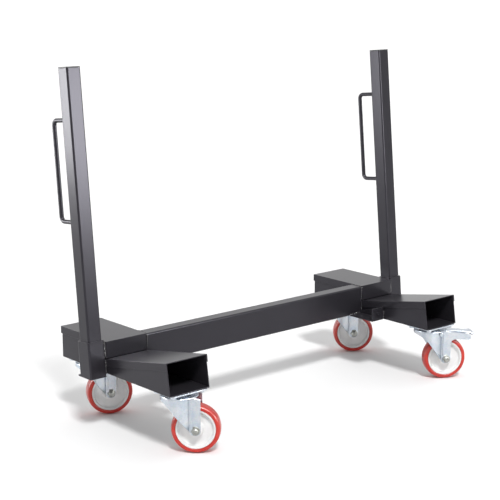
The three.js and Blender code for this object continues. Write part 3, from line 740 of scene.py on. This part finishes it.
for castor in CASTORS:
    head = head_of(castor)
    slot = rounded_rectangle(SLOT_LONG, SLOT_WIDE, 5.4, 5)
    slots = [[(u + x, v + y) for u, v in slot] for x, y in SLOT_PLACES]
    bm = stamped(rounded_rectangle(PLATE_X, PLATE_Y, PLATE_CORNER, 5), slots, PLATE_THICK, 0.5,
                 lambda x, y, z: head(x, y, PLATE_TOP - PLATE_THICK / 2 + z))
    fit(new_piece(f"top_plate_{castor}", bm), "chassis", zinc, "zinc_plate", f"castor_plate_{castor}")

    bm = bmesh.new()
    profile = [(12, RACE_BOTTOM), (29, RACE_BOTTOM), (30.2, RACE_BOTTOM + 0.4), (37.2, RACE_BOTTOM + 4),
               (38.6, RACE_BOTTOM + 5), (39.4, RACE_BOTTOM + 6.4), (40, RACE_TOP), (12, RACE_TOP)]
    skin(bm, lay(head, turned_rings(profile, 64)), joined=True)
    fit(new_piece(f"ball_race_{castor}", bm), "chassis", zinc, "zinc_plate", f"upper_race_{castor}")

    bm = bmesh.new()
    skin(bm, lay(head, turned_rings([(6, 166.2), (9, 167), (10, 168.5), (10, 193.5), (9, 194.2)], 32)))
    skin(bm, lay(head, hex_rings(KINGPIN_FLATS, 165, 175.6, True)))
    fit(new_piece(f"kingpin_nut_{castor}", bm), "chassis", zinc, "zinc_plate", f"kingpin_{castor}")


# ---- Castor bolts ----
# Four zinc plated hexagon bolts with plain washers hold each castor's plate up against the frame's floor.
# They are the same bolt sixteen times over, one in the middle of each slot.
bolt_tree, start = node_tree("castor_bolts", (
    ("Bolt", "Object"), ("Largest Turn", "Float"), ("Seed", "Int"), ("Material", "Material")))
join = bolt_tree.links.new
shape = bolt_tree.nodes.new("GeometryNodeObjectInfo")
turn = bolt_tree.nodes.new("FunctionNodeRandomValue")
combine = bolt_tree.nodes.new("ShaderNodeCombineXYZ")
spread = bolt_tree.nodes.new("GeometryNodeInstanceOnPoints")
join(start.outputs["Bolt"], shape.inputs["Object"])
join(start.outputs["Largest Turn"], turn.inputs[3])
join(start.outputs["Seed"], turn.inputs["Seed"])
join(turn.outputs[1], combine.inputs["Z"])
join(combine.outputs[0], spread.inputs["Rotation"])
join(start.outputs["Geometry"], spread.inputs["Points"])
join(shape.outputs["Geometry"], spread.inputs["Instance"])
end_tree(bolt_tree, start, spread.outputs[0])

BOLT_SEAT = PLATE_TOP - PLATE_THICK
BOLT_FLATS = 16


def hanging(x, y, z):
    """Turns a bolt head down."""
    return Vector((x, -y, -z)) * MM


bm = bmesh.new()
washer = [(5, 0), (10, 0), (10.4, 0.3), (10.4, 1.5), (10, WASHER_THICK), (5, WASHER_THICK)]
skin(bm, lay(hanging, turned_rings(washer, 32)))
skin(bm, lay(hanging, hex_rings(BOLT_FLATS, WASHER_THICK, 7.6, sides=36)))
skin(bm, lay(hanging, turned_rings([(4.9, -3.7), (4.9, WASHER_THICK + 0.1)], 24)))
one_bolt = new_piece("one_bolt", bm, 30)
for castor in CASTORS:
    head = head_of(castor)
    points = bpy.data.meshes.new("bolt_places")
    points.from_pydata([head(x, y, BOLT_SEAT) for x, y in SLOT_PLACES], [], [])
    source = bpy.data.objects.new("bolt_places", points)
    piece = grown(f"plate_bolts_{castor}", source, bolt_tree,
                  {"Bolt": one_bolt, "Largest Turn": 1.0, "Seed": 7, "Material": zinc})
    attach(piece, "chassis")
bpy.data.objects.remove(one_bolt)


# ---- Forks ----
# Pressed from 4 mm steel and zinc plated: a round head under the ball race, a skirt that runs down round the
# front and is creased into two flat legs, and on the braked pair an ear beyond each leg beside the pedal.
CROWN_RADIUS = 58
CROWN_TOP = 180
FORK_STEEL = 4
LEG_OUT = 34
LEG_BACK = 66
FLARE = math.radians(100)
TRAIL = 50
WHEEL_RADIUS = 75
AXLE_Z = WHEEL_RADIUS
LEG_END = LEG_BACK - TRAIL
LEG_TANGENT = math.radians(40)
SKIRT_FRONT = (-59, 167)
SKIRT_SHOULDER = (-20, 141)
SKIRT_TOP = 176.4
PRESS_EASE = 0.8
EAR_OUTLINE = [(LEG_BACK, 129), (68, 137), (72, 142), (78, 144.4), (86, 145), (108, 143.6), (130, 142),
               (134.6, 143), (137.6, 145.8), (139, 151), (138, 156.6), (134.6, 160.4), (128, 162), (104, 166),
               (80, 170), (LEG_BACK, 171.8)]


def fork_path():
    """Outer outline of the skirt seen from above, from one leg's back edge round the front to the other's."""
    half = [(TRAIL + LEG_END * math.cos(math.radians(a)), LEG_OUT) for a in range(0, 141, 10)]
    half += [(41, LEG_OUT), (38.5, LEG_OUT - 0.3), (36, LEG_OUT - 1.0), (33.5, LEG_OUT - 1.3),
             (31.5, LEG_OUT - 0.6), (29.8, LEG_OUT + 0.6), (28, LEG_OUT + 2.1)]
    first = (25, LEG_OUT + 3.7)
    last = (CROWN_RADIUS * math.cos(FLARE) + 9, CROWN_RADIUS * math.sin(FLARE) - 2.6)
    for i in range(8):
        t = i / 7
        bow = 1.6 * math.sin(math.pi * t)
        half.append((first[0] + (last[0] - first[0]) * t, first[1] + (last[1] - first[1]) * t + bow))
    for a in range(98, 181, 4):
        turn = math.radians(a)
        pull = 0.6 if a == 98 else 0.0
        half.append(((CROWN_RADIUS - pull) * math.cos(turn), (CROWN_RADIUS - pull) * math.sin(turn)))
    half.append((-CROWN_RADIUS, 0))
    return half + [(x, -y) for x, y in reversed(half[:-1])]


def skirt_low(x):
    """Height of the skirt's lower edge at a distance along the trail."""
    front_x, front_z = SKIRT_FRONT
    shoulder_x, shoulder_z = SKIRT_SHOULDER
    if x <= shoulder_x:
        t = (x - front_x) / (shoulder_x - front_x)
        return front_z - 9.5 * t * (1 - t) + (shoulder_z - front_z) * t * t
    edge_x = TRAIL - LEG_END * math.cos(LEG_TANGENT)
    edge_z = AXLE_Z - LEG_END * math.sin(LEG_TANGENT)
    if x <= edge_x:
        return shoulder_z + (edge_z - shoulder_z) * (x - shoulder_x) / (edge_x - shoulder_x)
    return AXLE_Z - math.sqrt(max(LEG_END ** 2 - (x - TRAIL) ** 2, 0))


def skirt_high(x):
    """Height of its upper edge: level, then falling a little behind the crown."""
    return SKIRT_TOP - max(x - 47, 0) * 4.6 / 19


def skirt_rings(path):
    """Closed section of the pressed wall at each step along the path."""
    rings = []
    for i, (x, y) in enumerate(path):
        before, after = path[max(i - 1, 0)], path[min(i + 1, len(path) - 1)]
        dx, dy = after[0] - before[0], after[1] - before[1]
        length = math.hypot(dx, dy)
        if length < 1e-6:
            continue
        nx, ny = -dy / length, dx / length
        low, high = skirt_low(x), skirt_high(x)
        e = PRESS_EASE
        section = [(0, low + e), (e * 0.3, low + e * 0.3), (e, low), (FORK_STEEL - e, low),
                   (FORK_STEEL - e * 0.3, low + e * 0.3), (FORK_STEEL, low + e)]
        section += [(FORK_STEEL, high - e), (FORK_STEEL - e, high), (e, high), (0, high - e)]
        rings.append([(x + nx * d, y + ny * d, z) for d, z in section])
    return rings


CROWN = [(10.3, 176), (55, 176), (CROWN_RADIUS - 0.4, 176.2), (CROWN_RADIUS, 176.8),
         (CROWN_RADIUS, 178.4), (CROWN_RADIUS - 0.6, 179.4), (CROWN_RADIUS - 1.8, CROWN_TOP),
         (49, CROWN_TOP), (48, 179.2), (43, 179.2), (42, CROWN_TOP), (10.3, CROWN_TOP)]
for castor in CASTORS:
    turning = trailing(castor)
    body = f"swivel_{castor}"
    bm = bmesh.new()
    skin(bm, lay(turning, skirt_rings(fork_path())))
    skin(bm, lay(turning, turned_rings(CROWN, 80)), joined=True)
    if castor in BRAKED:
        for sign in (-1, 1):
            centre_y = sign * (LEG_OUT - FORK_STEEL / 2)
            skin(bm, [[turning(x, centre_y + w, z) for x, z in EAR_OUTLINE]
                      for w in (-FORK_STEEL / 2, FORK_STEEL / 2)])
    fit(new_piece(f"pressed_fork_{castor}", bm), body, zinc, "zinc_plate", f"fork_{castor}")


# ---- Axles ----
# An M16 hexagon bolt through each fork's legs and a steel sleeve that the wheel runs on, with a plain washer
# under the head and under the domed locknut on the other side. All zinc plated.
AXLE_FLATS = 20.6
AXLE_WASHER = [(7, 0), (13.4, 0), (13.8, 0.3), (13.8, 1.5), (13.4, WASHER_THICK), (7, WASHER_THICK)]
SLEEVE = [(8.3, -29.6), (10.9, -29.6), (11.3, -29.2), (11.3, 29.2), (10.9, 29.6), (8.3, 29.6)]
LEG_FACE = LEG_OUT + 0.2


def fastener_steel():
    """Duller zinc on the bolts and nuts, with fine turning marks."""
    recipe = Recipe("zinc_fastener", (0.34, 0.35, 0.34, 1), 0.38, 1.0)
    clouds = recipe.between(recipe.noise(150.0, 4.0, 0.6), 0.0, 1.0)
    recipe.color(recipe.mix(clouds, (0.22, 0.23, 0.22, 1), (0.40, 0.40, 0.37, 1)))
    recipe.gloss(recipe.between(recipe.noise(500.0, 3.0, 0.6), 0.32, 0.46))
    recipe.bump(recipe.noise(900.0, 2.0, 0.5), 0.06, 0.0003)
    return recipe.material


fastener = fastener_steel()


def round_axle(castor):
    """Places points round a castor's axle: x along the trail, y up, z along the axle."""
    turning = trailing(castor)
    return lambda x, y, z: turning(TRAIL + x, z, AXLE_Z + y)


for castor in CASTORS:
    on_axle = round_axle(castor)
    body = f"swivel_{castor}"

    def near_side(x, y, z):
        return on_axle(x, y, -LEG_FACE - z)

    def far_side(x, y, z):
        return on_axle(x, y, LEG_FACE + z)

    bm = bmesh.new()
    skin(bm, lay(near_side, turned_rings(AXLE_WASHER)))
    skin(bm, lay(near_side, hex_rings(AXLE_FLATS, WASHER_THICK, 8.4, True)))
    skin(bm, lay(near_side, turned_rings([(9.6, 8.3), (9.2, 9.2), (8.4, 9.8), (6.9, 9.9)])))
    skin(bm, lay(near_side, turned_rings([(7.6, 7), (7.6, 11.9), (6.6, 12.8)])))
    skin(bm, lay(far_side, turned_rings(AXLE_WASHER)))
    skin(bm, lay(far_side, hex_rings(AXLE_FLATS, WASHER_THICK, 7.7)))
    skin(bm, lay(near_side, turned_rings([(7.9, -2 * LEG_OUT - 1), (7.9, 2)], 32)))
    fit(new_piece(f"axle_{castor}", bm), body, fastener, "zinc_plate", f"axle_bolt_{castor}")

    bm = bmesh.new()
    skin(bm, lay(on_axle, turned_rings(SLEEVE, 40)), joined=True)
    fit(new_piece(f"sleeve_bush_{castor}", bm), body, zinc, "zinc_plate", f"axle_sleeve_{castor}")


# ---- Wheels ----
# Each wheel is a solid white nylon centre, dished between its hub and a raised rim, with a red polyurethane
# tread cast round it. The tread is glossy and a little clear, and its shoulders are rounded.
def nylon_moulding():
    """White nylon that lets a little light in."""
    recipe = Recipe("white_nylon", (0.72, 0.71, 0.70, 1), 0.42)
    recipe.shader.inputs["Subsurface Weight"].default_value = 0.12
    recipe.shader.inputs["Subsurface Radius"].default_value = (0.006, 0.005, 0.004)
    recipe.shader.inputs["Subsurface Scale"].default_value = 1.0
    clouds = recipe.between(recipe.noise(26.0, 3.0), 0.0, 1.0)
    recipe.color(recipe.mix(clouds, (0.71, 0.705, 0.70, 1), (0.77, 0.765, 0.76, 1)))
    recipe.bump(recipe.noise(900.0, 2.0, 0.5), 0.1, 0.0003)
    return recipe.material


def cast_tread():
    """Red polyurethane, cast smooth and a little clear."""
    recipe = Recipe("red_polyurethane", (0.54, 0.022, 0.016, 1), 0.3)
    recipe.shader.inputs["Subsurface Weight"].default_value = 0.15
    recipe.shader.inputs["Subsurface Radius"].default_value = (0.008, 0.0015, 0.001)
    recipe.shader.inputs["Subsurface Scale"].default_value = 1.0
    recipe.shader.inputs["Coat Weight"].default_value = 0.1
    recipe.shader.inputs["Coat Roughness"].default_value = 0.12
    clouds = recipe.between(recipe.noise(18.0, 3.0), 0.0, 1.0)
    recipe.color(recipe.mix(clouds, (0.46, 0.016, 0.0085, 1), (0.55, 0.028, 0.0135, 1)))
    recipe.bump(recipe.noise(160.0, 3.0, 0.5), 0.06, 0.0006)
    return recipe.material


nylon = nylon_moulding()
polyurethane = cast_tread()


def rounded_profile(points, ease):
    """A closed profile of (radius, height) points with every corner cut into a small round."""
    result = []
    count = len(points)
    for i, (x, y) in enumerate(points):
        sides = []
        for other in (points[i - 1], points[(i + 1) % count]):
            dx, dy = other[0] - x, other[1] - y
            length = math.hypot(dx, dy)
            step = min(ease, 0.42 * length) / length
            sides.append((x + dx * step, y + dy * step))
        (ax, ay), (bx, by) = sides
        for t in (0.0, 0.33, 0.67, 1.0):
            s = 1 - t
            result.append((s * s * ax + 2 * s * t * x + t * t * bx, s * s * ay + 2 * s * t * y + t * t * by))
    return result


def both_faces(half):
    """A profile for both faces of the wheel from one face's (radius, height) points, hub first."""
    return half + [(r, -h) for r, h in reversed(half)]


CORE = both_faces([(12, 28.5), (20, 28.5), (21, 27.5), (22.4, 14.5), (26, 11.2), (48, 10.6), (52.6, 12.6),
                   (54.8, 21.4), (56.2, 22.5), (60.5, 22.5)])
TREAD = both_faces([(60.8, 21), (61.6, 22.7), (65.4, 23.3), (69.8, 22.7), (72.6, 19.6), (74.3, 14.5),
                    (WHEEL_RADIUS, 8)])
for castor in CASTORS:
    on_axle = round_axle(castor)
    body = f"wheel_{castor}"
    bm = bmesh.new()
    skin(bm, lay(on_axle, turned_rings(rounded_profile(CORE, 1.6), 96)), joined=True)
    fit(new_piece(f"wheel_centre_{castor}", bm, 50), body, nylon, "white_nylon", f"wheel_core_{castor}")

    bm = bmesh.new()
    skin(bm, lay(on_axle, turned_rings(rounded_profile(TREAD, 1.4), 120)), joined=True)
    fit(new_piece(f"tread_{castor}", bm, 50), body, polyurethane, "red_polyurethane", f"tyre_{castor}")


# ---- Brakes ----
# On the right-hand castors a pressed pedal turns on a riveted pin between the legs. Its toe is rolled for the
# foot, and a curved steel shoe under it presses on the tread. All zinc plated.
PIVOT_X = 30
PIVOT_Z = 166
TOE_X = 146
TOE_Z = 162
TOE_HALF = 28
PEDAL_SHEET = 3
PEDAL_WALL = 2.4
# Distance along the trail, height of the top, and half the width.
PEDAL_STATIONS = [(22.5, 171, 22), (27, 172, 23), (40, 173.4, 23), (62, 172.9, 22), (84, 172.2, 19),
                  (104, 170.6, 17), (120, 168.8, 18), (132, 167.6, 21), (143, 166.8, 24)]
for castor in BRAKED:
    turning = trailing(castor)
    body = f"brake_{castor}"
    bm = bmesh.new()
    rings = []
    for x, top, half in PEDAL_STATIONS:
        under = top - PEDAL_SHEET
        hem = under - (3.2 if x < 130 else 1.0)
        rings.append([turning(x, y, z) for y, z in (
            (-half, hem), (-half, top - 1.2), (-half + 1.2, top), (0, top + 0.1), (half - 1.2, top),
            (half, top - 1.2), (half, hem), (half - PEDAL_WALL, hem), (half - PEDAL_WALL, under), (0, under),
            (-half + PEDAL_WALL, under), (-half + PEDAL_WALL, hem))])
    skin(bm, rings)

    def along_pin(x, y, z):
        return turning(PIVOT_X + x, z, PIVOT_Z + y)

    def along_toe(x, y, z):
        return turning(TOE_X + x, z, TOE_Z + y * 0.92)

    for end in (-1, 1):
        lug = [(4.4, 17 * end), (6.8, 17 * end), (7.2, 17.4 * end), (7.2, 22.2 * end), (6.8, 22.6 * end),
               (4.4, 22.6 * end)]
        skin(bm, lay(along_pin, turned_rings(lug, 32)), joined=True)
    toe = [(8 * math.sqrt(1 - (h / TOE_HALF) ** 6), h) for h in
           (-27.9, -27.4, -26.4, -24.5, -21, -14, 0, 14, 21, 24.5, 26.4, 27.4, 27.9)]
    skin(bm, lay(along_toe, turned_rings(toe, 32)))
    fit(new_piece(f"pedal_{castor}", bm), body, zinc, "zinc_plate", f"brake_pedal_{castor}")

    fit(eased_copy(f"shoe_{castor}", f"brake_shoe_{castor}", 3, 1, 0.5), body, zinc, "zinc_plate",
        f"brake_shoe_{castor}")

    bm = bmesh.new()
    pin = [(3.5, -42), (5.6, -41.8), (6.4, -41.2), (6.5, -40), (4, -40), (4, 40), (6.5, 40), (6.4, 41.2),
           (5.6, 41.8), (3.5, 42)]
    skin(bm, lay(along_pin, turned_rings(pin, 32)))
    fit(new_piece(f"rivet_pin_{castor}", bm), f"swivel_{castor}", zinc, "zinc_plate", f"brake_pin_{castor}")


# ---- Studio ----
# A plain white floor in a white room, with one key light high to the front left. Soft panels in front,
# overhead and behind to the left show in the satin coat. A long lens stands above the trolley's handles,
# to the front left.
REACH = 90
floor_mesh = bpy.data.meshes.new("floor")
floor_mesh.from_pydata([(-REACH, -REACH, 0), (REACH, -REACH, 0), (REACH, REACH, 0), (-REACH, REACH, 0)],
                       [], [(0, 1, 2, 3)])
floor = bpy.data.objects.new("floor", floor_mesh)
bpy.context.scene.collection.objects.link(floor)
paper = Recipe("white_floor", (0.86, 0.86, 0.86, 1), 0.9)
paper.shader.inputs["Specular IOR Level"].default_value = 0.1
floor_mesh.materials.append(paper.material)

BACKDROP_GLOW = 1.05
DARK_SIDE_GLOW = 0.5
BRIGHT_SIDE = (0.5, 0.7, 0.15)
sky = bpy.data.worlds.new("white_room")
sky.use_nodes = True
room = sky.node_tree
join = room.links.new
towards = room.nodes.new("ShaderNodeVectorMath")
towards.operation = "DOT_PRODUCT"
towards.inputs[1].default_value = BRIGHT_SIDE
fade = room.nodes.new("ShaderNodeMapRange")
fade.interpolation_type = "SMOOTHSTEP"
fade.inputs["From Min"].default_value = -0.4
fade.inputs["From Max"].default_value = 0.8
fade.inputs["To Min"].default_value = DARK_SIDE_GLOW
fade.inputs["To Max"].default_value = BACKDROP_GLOW
join(room.nodes.new("ShaderNodeTexCoord").outputs["Generated"], towards.inputs[0])
join(towards.outputs["Value"], fade.inputs["Value"])
plain_white = room.nodes.new("ShaderNodeMix")
plain_white.inputs[3].default_value = BACKDROP_GLOW
join(room.nodes.new("ShaderNodeLightPath").outputs["Is Camera Ray"], plain_white.inputs[0])
join(fade.outputs["Result"], plain_white.inputs[2])
join(plain_white.outputs[0], room.nodes["Background"].inputs["Strength"])
room.nodes["Background"].inputs["Color"].default_value = (1, 1, 1, 1)
bpy.context.scene.world = sky


def aim(item, position, target):
    """Stands a lamp or the camera in its place, turned to its target."""
    item.location = position
    item.rotation_mode = "QUATERNION"
    item.rotation_quaternion = (Vector(target) - Vector(position)).to_track_quat("-Z", "Y")
    bpy.context.scene.collection.objects.link(item)


sun = bpy.data.lights.new("key_light", "SUN")
sun.energy = 2.3
sun.angle = math.radians(10)
aim(bpy.data.objects.new("key_light", sun), (-1.4, -2.72, 4.0), (0, 0, 0))


def soft_light(name, width, height, radiance, position, target):
    """A white panel that only shows as a reflection."""
    light = bpy.data.lights.new(name, "AREA")
    light.shape = "RECTANGLE"
    light.size = width
    light.size_y = height
    light.energy = radiance * math.pi * width * height
    lamp = bpy.data.objects.new(name, light)
    lamp.visible_diffuse = False
    lamp.visible_camera = False
    aim(lamp, position, target)


soft_light("front_softbox", 1.1, 1.1, 25.5, (1.3, -2.9, 1.2), (-0.65, 0, 0.8))
soft_light("rear_left_softbox", 1.3, 1.5, 17.0, (-2.4, 1.95, 1.2), (-0.65, 0, 0.8))
soft_light("overhead_softbox", 3.0, 3.0, 12.0, (-0.4, -2.0, 3.4), (0, 0, 0.3))

CAMERA_PLACE = (-2.867954, -3.172347, 1.407383)
CAMERA_TARGET = (-0.054953, 0.060179, 0.504240)
lens = bpy.data.cameras.new("camera")
lens.lens = 94.86
lens.sensor_width = 36
lens.clip_end = 300
camera = bpy.data.objects.new("camera", lens)
aim(camera, CAMERA_PLACE, CAMERA_TARGET)
bpy.context.scene.camera = camera
bpy.context.scene.view_settings.view_transform = "Standard"
